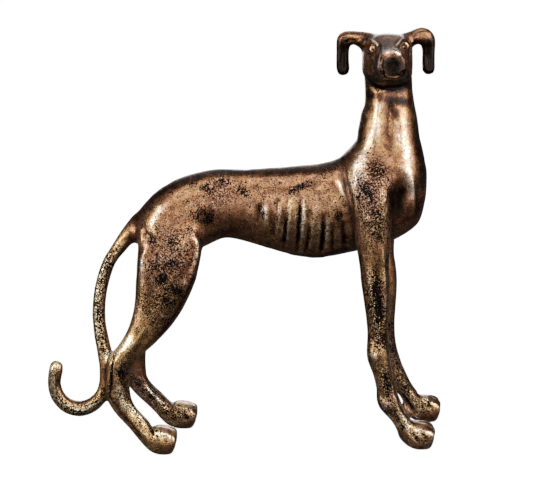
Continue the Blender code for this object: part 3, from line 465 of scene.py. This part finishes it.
class Skin:
    """The casting's skin as arrays: its points and their outward directions, in millimetres."""

    def __init__(self, mesh):
        self.mesh = mesh
        ends = np.empty(len(mesh.edges) * 2, np.int32)
        mesh.edges.foreach_get("vertices", ends)
        self.ends = ends.reshape(-1, 2)
        self.count = len(mesh.vertices)
        self.neighbours = np.bincount(self.ends.ravel(), minlength=self.count)
        self.read()

    def read(self):
        points = np.empty(self.count * 3, np.float32)
        self.mesh.vertices.foreach_get("co", points)
        self.points = points.reshape(-1, 3).astype(float) * 1000
        normals = np.empty(self.count * 3, np.float32)
        self.mesh.vertex_normals.foreach_get("vector", normals)
        self.normals = normals.reshape(-1, 3).astype(float)

    def write(self):
        self.mesh.vertices.foreach_set("co", (self.points / 1000).astype(np.float32).ravel())
        self.mesh.update()
        self.read()

    def averaged(self, values, ends=None):
        """Each point's value, averaged over its neighbours, along all of the edges or some of them."""
        start, end = (self.ends if ends is None else ends).T
        if values.ndim > 1:
            return np.stack([self.averaged(column, ends) for column in values.T], axis=1)
        total = np.bincount(start, values[end], self.count) + np.bincount(end, values[start], self.count)
        return total / self.neighbours

    def rubbed(self, rounds, share=0.5):
        """Rubs the skin down without shrinking it: each pass in is followed by one nearly as far out."""
        for _ in range(rounds):
            for factor in (share, -share * 1.03):
                self.points += (self.averaged(self.points) - self.points) * factor
        self.write()

    def softened(self, strokes, rounds=70):
        """Rubs the skin down along the strokes only."""
        share = self.strengths(strokes)[:, None]
        near = self.ends[(share[self.ends] > 0).any(axis=(1, 2))]
        for _ in range(rounds):
            step = np.where(share > 0, self.averaged(self.points, near) - self.points, 0)
            self.points += step * share * 0.8
        self.write()

    def strengths(self, strokes):
        """The strongest of the strokes at each point."""
        sight = Sight(self.mesh)
        most = np.zeros(self.count)
        for stroke in strokes:
            for line, outward in sight.lines(stroke):
                near, strength = self.along(line, outward, stroke)
                most[near] = np.maximum(most[near], strength * stroke.height)
        return most

    def painted(self, name, strokes):
        """Keeps how strongly each point is painted, under a name that the finish reads."""
        self.kept(name, self.strengths(strokes))

    def kept(self, name, values):
        layer = self.mesh.attributes.new(name, "FLOAT", "POINT")
        layer.data.foreach_set("value", values.astype(np.float32))

    def settled(self):
        """Rubs down the odd point that stands up from the skin round it."""
        most_proud = 0.09
        for _ in range(6):
            level = self.averaged(self.points)
            proud = np.abs(((level - self.points) * self.normals).sum(axis=1)) > most_proud
            near = np.flatnonzero(self.averaged(proud.astype(float)) > 0)
            self.points[near] += (level - self.points)[near] * 0.8
        self.write()

    def hollows(self):
        """How deep each point lies in a hollow about 3 mm across, in millimetres, with a minus on a ridge."""
        level = self.points
        for _ in range(12):
            level = level + (self.averaged(level) - level) * 0.6
        depth = ((level - self.points) * self.normals).sum(axis=1)
        for _ in range(3):
            depth = self.averaged(depth)
        return depth

    def carved(self, strokes):
        """Raises or sinks the skin along the strokes, all measured from the skin as it was before them."""
        sight = Sight(self.mesh)
        moves = np.zeros(self.count)
        for stroke in strokes:
            for line, outward in sight.lines(stroke):
                near, strength = self.along(line, outward, stroke)
                moves[near] += strength * stroke.height
        self.points += self.normals * moves[:, None]
        self.write()

    def along(self, line, outward, stroke):
        """The points within a stroke's reach, on the side it was made from, with its strength at each."""
        low, high = line.min(axis=0) - stroke.reach, line.max(axis=0) + stroke.reach
        near = np.flatnonzero(((self.points > low) & (self.points < high)).all(axis=1))
        points = self.points[near]
        best, place = np.linalg.norm(points - line[0], axis=1), np.zeros(len(near))
        for count, (start, end) in enumerate(zip(line, line[1:])):
            step = end - start
            share = np.clip((points - start) @ step / max(step @ step, 1e-9), 0, 1)
            away = np.linalg.norm(points - start - share[:, None] * step, axis=1)
            place = np.where(away < best, (count + share) / (len(line) - 1), place)
            best = np.minimum(best, away)
        swell = np.clip(1 - (best / stroke.reach) ** 2, 0, 1) ** 2
        facing = np.clip(self.normals[near] @ outward * 2, 0, 1)
        ends = np.clip(stroke.fade + 4 * (1 - stroke.fade) * np.minimum(place, 1 - place), 0, 1)
        return near, swell * facing * (ends if len(line) > 1 else 1)

    def fitted(self):
        """Presses the soles flat on the floor, and keeps every point within the solid's box."""
        low, high = (np.array(corner) * 1000 for corner in CAD_BOX)
        self.points = np.clip(self.points, low, high)
        self.write()


class Sight:
    """Finds the skin behind the picture's pixels, and the like place on the dog's left side."""

    def __init__(self, mesh):
        form = bmesh.new()
        form.from_mesh(mesh)
        self.tree = BVHTree.FromBMesh(form)
        form.free()
        self.back, self.right, self.up = towards_camera()
        self.eye = AIM + self.back * DISTANCE
        self.focal = LENS / SENSOR * PICTURE[0]

    def ray(self, x, y):
        """The line of sight through a pixel, as a direction."""
        return self.right * (x - PICTURE[0] / 2) - self.up * (y - PICTURE[1] / 2) - self.back * self.focal

    def at(self, x, y):
        """The skin's point and outward direction behind a pixel."""
        return self.tree.ray_cast(self.eye, self.ray(x, y).normalized())[:2]

    def middle(self, x, y):
        """The skin's point and outward direction that lie nearest to a pixel on the dog's middle plane."""
        ray = self.ray(x, y)
        return self.tree.find_nearest(self.eye + ray * ((MIDDLE / 1000 - self.eye.y) / ray.y))[:2]

    def mirrored(self, point):
        """The like place on the dog's left side, where each leg stands ahead of the right one."""
        x, y, z = point * 1000
        swing = STRIDE * np.interp(z, SWING_HEIGHTS, SWING_SHARES)
        there = Vector((x + (swing if z < LEGS_BELOW else 0), 2 * MIDDLE - y, z)) / 1000
        return self.tree.find_nearest(there)[:2]

    def lines(self, stroke):
        """The lines that a stroke makes on the skin, each with its outward direction, in millimetres."""
        find = self.middle if stroke.both is None else self.at
        hits = [hit for hit in (find(*pixel) for pixel in stroke.line) if hit[0]]
        sides = [hits, [self.mirrored(point) for point, _ in hits]] if stroke.both else [hits]
        for side in sides:
            if side:
                outward = sum((normal for _, normal in side), Vector())
                yield np.array([point for point, _ in side]) * 1000, np.array(outward.normalized())


def eye_strokes():
    """The socket, the eyeball, the upper lid, the fold under the eye and the pupil of each eye."""
    for middle, radius, start, end in EYES:
        yield Stroke([middle], radius * 2.0, -0.55, False)
        yield Stroke([middle], radius * 1.05, 0.55, False)
        yield Stroke(ring(middle, radius, start, end), radius * 0.36, 0.6, False, 0.2)
        yield Stroke(ring(middle, radius * 1.8, 3, 9), radius * 0.4, 0.3, False, 0.2)
        yield Stroke([pupil(middle, radius)], radius * 0.42, -1.1, False)


def finer_face(mesh):
    """Halves the skin's edges on the face, for the eyes, the brows and the lips."""
    form = bmesh.new()
    form.from_mesh(mesh)
    faces = [face for face in form.faces if face.calc_center_median().z > FACE_ABOVE]
    near = {edge for face in faces if face.normal.y < FACE_TURN for edge in face.edges}
    edges = [edge for edge in form.edges if edge in near]
    bmesh.ops.subdivide_edges(form, edges=edges, cuts=1, use_grid_fill=True)
    form.to_mesh(mesh)
    form.free()
    return mesh


def casting():
    """The solid's skin, carved and painted, before its triangles are thinned out."""
    mesh = through_modifier(rounded_solid(), "REMESH", mode="VOXEL", voxel_size=SKIN_EDGE)
    skin = Skin(mesh)
    skin.settled()
    skin.softened(JOINS)
    skin.rubbed(12)
    skin = Skin(finer_face(skin.mesh))
    skin.rubbed(2)
    skin.carved([*OUTLINE, *TRUNK, *LIMBS])
    skin.carved([*RIBS, *PAWS, *HEAD])
    skin.carved(list(eye_strokes()))
    skin.fitted()
    skin.kept("hollow", skin.hollows())
    for name, strokes in FINISH_AND_PAINTED_LIGHT.items():
        skin.painted(name, strokes)
    return skin


def linear(colour):
    """A linear colour from an sRGB hex value."""
    parts = [int(colour[place:place + 2], 16) / 255 for place in (0, 2, 4)]
    return (*[part / 12.92 if part <= 0.04045 else ((part + 0.055) / 1.055) ** 2.4 for part in parts], 1.0)


def add(tree, kind, sockets=None, give=0, **settings):
    """Adds a node with its settings, and a value or a link for each socket named. Gives one of its outputs.

    Sockets and outputs are named, or numbered where a node has several of one name.
    """
    node = tree.nodes.new("ShaderNode" + kind)
    for name, value in settings.items():
        setattr(node, name, value)
    for name, value in (sockets or {}).items():
        if isinstance(value, bpy.types.NodeSocket):
            tree.links.new(value, node.inputs[name])
        else:
            node.inputs[name].default_value = value
    return node.outputs[give] if node.outputs else node


def antiqued_brass():
    """Sand-cast brass under a dark antique patina, rubbed back to the metal and lacquered satin.

    The raised skin shows warm copper gold with broad soft highlights, paler where it is rubbed, and paler
    still where highlights are painted into the colour. The patina stays brown in the shallows and black in
    the casting pits, which are 0.7 to 1.5 mm wide, and painted shade darkens the colour further under the
    jaw, along the belly and at the edges of the limbs.
    """
    material = bpy.data.materials.new("antiqued cast brass")
    material.use_nodes = True
    tree = material.node_tree
    tree.nodes.clear()
    place = add(tree, "TexCoord", give="Object")
    hollow, black, pitted, golden, painted_shade_and_patina, worn_and_painted_highlight = (
        add(tree, "Attribute", give="Fac", attribute_name=name) for name in ("hollow", *FINISH_AND_PAINTED_LIGHT))
    broad, mottle, clot, speck, fine = (
        add(tree, "TexNoise", {"Vector": place, "Scale": 1000 / millimetres, "Detail": detail,
                               "Roughness": 0.6, "Distortion": distortion})
        for millimetres, detail, distortion in
        ((18, 2, 0), (5, 3, 0), (3.4, 3, 0), (0.95, 1, 1.0), (0.7, 1, 0)))
    crowd = speck
    for layer, share in ((broad, 0.16), (clot, 0.16), (pitted, 0.2), (black, 0.24)):
        crowd = add(tree, "Math", {0: layer, 1: share, 2: crowd}, operation="MULTIPLY_ADD")
    pits = add(tree, "MapRange", {"Value": crowd, "From Min": 0.785, "From Max": 0.808},
               interpolation_type="SMOOTHSTEP")
    rims = add(tree, "MapRange", {"Value": crowd, "From Min": 0.69, "From Max": 0.785},
               interpolation_type="SMOOTHSTEP")
    grainy = add(tree, "Math", {0: pitted, 1: 0.65, 2: 0.3}, operation="MULTIPLY_ADD")
    grain = add(tree, "Math", {0: fine, 1: 0.5}, operation="SUBTRACT")
    tone = add(tree, "Math", {0: grain, 1: grainy, 2: 0.25}, operation="MULTIPLY_ADD")
    # Painted highlights lighten the tone and painted shade darkens it, beside the mottle, the pit rims and
    # the patina left in hollows.
    for layer, share in ((mottle, 0.4), (rims, 0.12), (worn_and_painted_highlight, 0.2), (painted_shade_and_patina, -0.22), (hollow, -0.8)):
        tone = add(tree, "Math", {0: layer, 1: share, 2: tone}, operation="MULTIPLY_ADD")
    golden = add(tree, "Math", {0: golden, 1: 0.36, 2: broad}, operation="MULTIPLY_ADD")
    golden = add(tree, "MapRange", {"Value": golden, "From Min": 0.47, "From Max": 0.82})
    middling = add(tree, "Mix", {0: golden, 6: linear("906042"), 7: linear("a4794a")}, 2, data_type="RGBA")
    palest = add(tree, "Mix", {0: golden, 6: linear("ead7c4"), 7: linear("e9d0a8")}, 2, data_type="RGBA")
    colour = linear("110906")
    for low, high, lighter in ((0.22, 0.44, linear("4a2c1b")), (0.38, 0.56, middling), (0.57, 0.84, palest)):
        share = add(tree, "MapRange", {"Value": tone, "From Min": low, "From Max": high},
                    interpolation_type="SMOOTHSTEP")
        colour = add(tree, "Mix", {0: share, 6: colour, 7: lighter}, 2, data_type="RGBA")
    colour = add(tree, "Mix", {0: pits, 6: colour, 7: linear("0a0706")}, 2, data_type="RGBA")
    rough = add(tree, "MapRange", {"Value": fine, "To Min": 0.18, "To Max": 0.4})
    rough = add(tree, "Math", {0: pits, 1: 0.12, 2: rough}, operation="MULTIPLY_ADD")
    level = add(tree, "Math", {0: 1.0, 1: pits}, operation="SUBTRACT")
    height = add(tree, "Math", {0: fine, 1: 0.5, 2: level}, operation="MULTIPLY_ADD")
    bump = add(tree, "Bump", {"Height": height, "Distance": 0.0004, "Strength": 0.95})
    lacquer = 0.25
    for layer, share in ((pits, -0.25), (painted_shade_and_patina, -0.11), (worn_and_painted_highlight, 0.15)):
        lacquer = add(tree, "Math", {0: layer, 1: share, 2: lacquer}, operation="MULTIPLY_ADD")
    shader = add(tree, "BsdfPrincipled", {"Base Color": colour, "Metallic": 1.0, "Roughness": rough,
                                          "Normal": bump, "Coat Weight": lacquer, "Coat Roughness": 0.2})
    add(tree, "OutputMaterial", {"Surface": shader})
    return material


def softbox(name, azimuth, elevation, distance, size, power):
    """A white studio light that faces the figure, with its size in metres and its power in watts."""
    lamp = bpy.data.lights.new(name, "AREA")
    lamp.shape, lamp.size, lamp.size_y = "RECTANGLE", *size
    lamp.energy = power
    back = outwards(azimuth, elevation)
    light = bpy.data.objects.new(name, lamp)
    light.location = AIM + back * distance
    light.rotation_mode = "QUATERNION"
    light.rotation_quaternion = (-back).to_track_quat("-Z", "Y")
    light.visible_camera = False
    bpy.context.scene.collection.objects.link(light)


def lights():
    """Softboxes on both sides, above and behind, and two cards that fill."""
    softbox("left softbox", -63, 20, 1.4, (0.6, 1.3), 30)
    softbox("right softbox", 49, 20, 1.4, (1.05, 1.3), 36)
    softbox("top softbox", -5, 56, 1.4, (1.4, 0.9), 20)
    softbox("overhead card", 176, 62, 1.5, (1.5, 1.2), 6)
    softbox("front card", -3, 7, 1.5, (1.0, 0.95), 15)
    softbox("rear softbox", 176, 12, 1.6, (1.0, 0.8), 12)


def background():
    """White where the camera sees it, and dim where the brass mirrors it."""
    world = bpy.data.worlds.new("studio")
    world.use_nodes = True
    tree = world.node_tree
    tree.nodes.clear()
    dim = add(tree, "Background", {"Color": (1, 1, 1, 1), "Strength": 0.06})
    white = add(tree, "Background", {"Color": (1, 1, 1, 1), "Strength": 2.0})
    seen = add(tree, "LightPath", give="Is Camera Ray")
    add(tree, "OutputWorld", {"Surface": add(tree, "MixShader", {0: seen, 1: dim, 2: white})})
    bpy.context.scene.world = world


def white_floor():
    """Paper that glows a little less under the figure than round it, and that the brass doesn't mirror."""
    form = bmesh.new()
    bmesh.ops.create_grid(form, x_segments=1, y_segments=1, size=3)
    mesh = bpy.data.meshes.new("floor")
    form.to_mesh(mesh)
    form.free()
    floor = bpy.data.objects.new("floor", mesh)
    bpy.context.scene.collection.objects.link(floor)
    floor.visible_glossy = floor.visible_shadow = False
    paper = bpy.data.materials.new("white background paper")
    paper.use_nodes = True
    tree = paper.node_tree
    tree.nodes.clear()
    away = add(tree, "VectorMath", {0: add(tree, "TexCoord", give="Object")}, "Value", operation="LENGTH")
    glow = add(tree, "MapRange", {"Value": away, "From Min": 0.4, "From Max": 1.2,
                                  "To Min": 1.88, "To Max": 2.0})
    shader = add(tree, "BsdfPrincipled", {"Base Color": linear("7a7a79"), "Roughness": 0.9,
                                          "Specular IOR Level": 0.0, "Emission Color": (1, 1, 1, 1),
                                          "Emission Strength": glow})
    add(tree, "OutputMaterial", {"Surface": shader})
    mesh.materials.append(paper)


def exposure():
    """Holds the highlights back, as the photograph does."""
    view = bpy.context.scene.view_settings
    view.view_transform = "Standard"
    view.use_curve_mapping = True
    view.curve_mapping.white_level = (2, 2, 2)
    points = view.curve_mapping.curves[3].points
    for bright, shown in ((0.1, 0.1), (0.25, 0.245), (0.5, 0.43), (0.75, 0.56), (1.0, 0.66), (1.5, 0.83)):
        points.new(bright / 2, shown)
    view.curve_mapping.update()


set_camera()
skin = casting()
triangles = sum(len(face.vertices) - 2 for face in skin.mesh.polygons)
mesh = through_modifier(skin.mesh, "DECIMATE", ratio=MOST_TRIANGLES / triangles)
for face in mesh.polygons:
    face.use_smooth = True
mesh.name = "greyhound casting"
mesh.materials.clear()
mesh.materials.append(antiqued_brass())
dog = bpy.data.objects.new("greyhound_casting", mesh)
bpy.context.scene.collection.objects.link(dog)
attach(dog, "root")
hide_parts("greyhound")
lights()
background()
white_floor()
exposure()
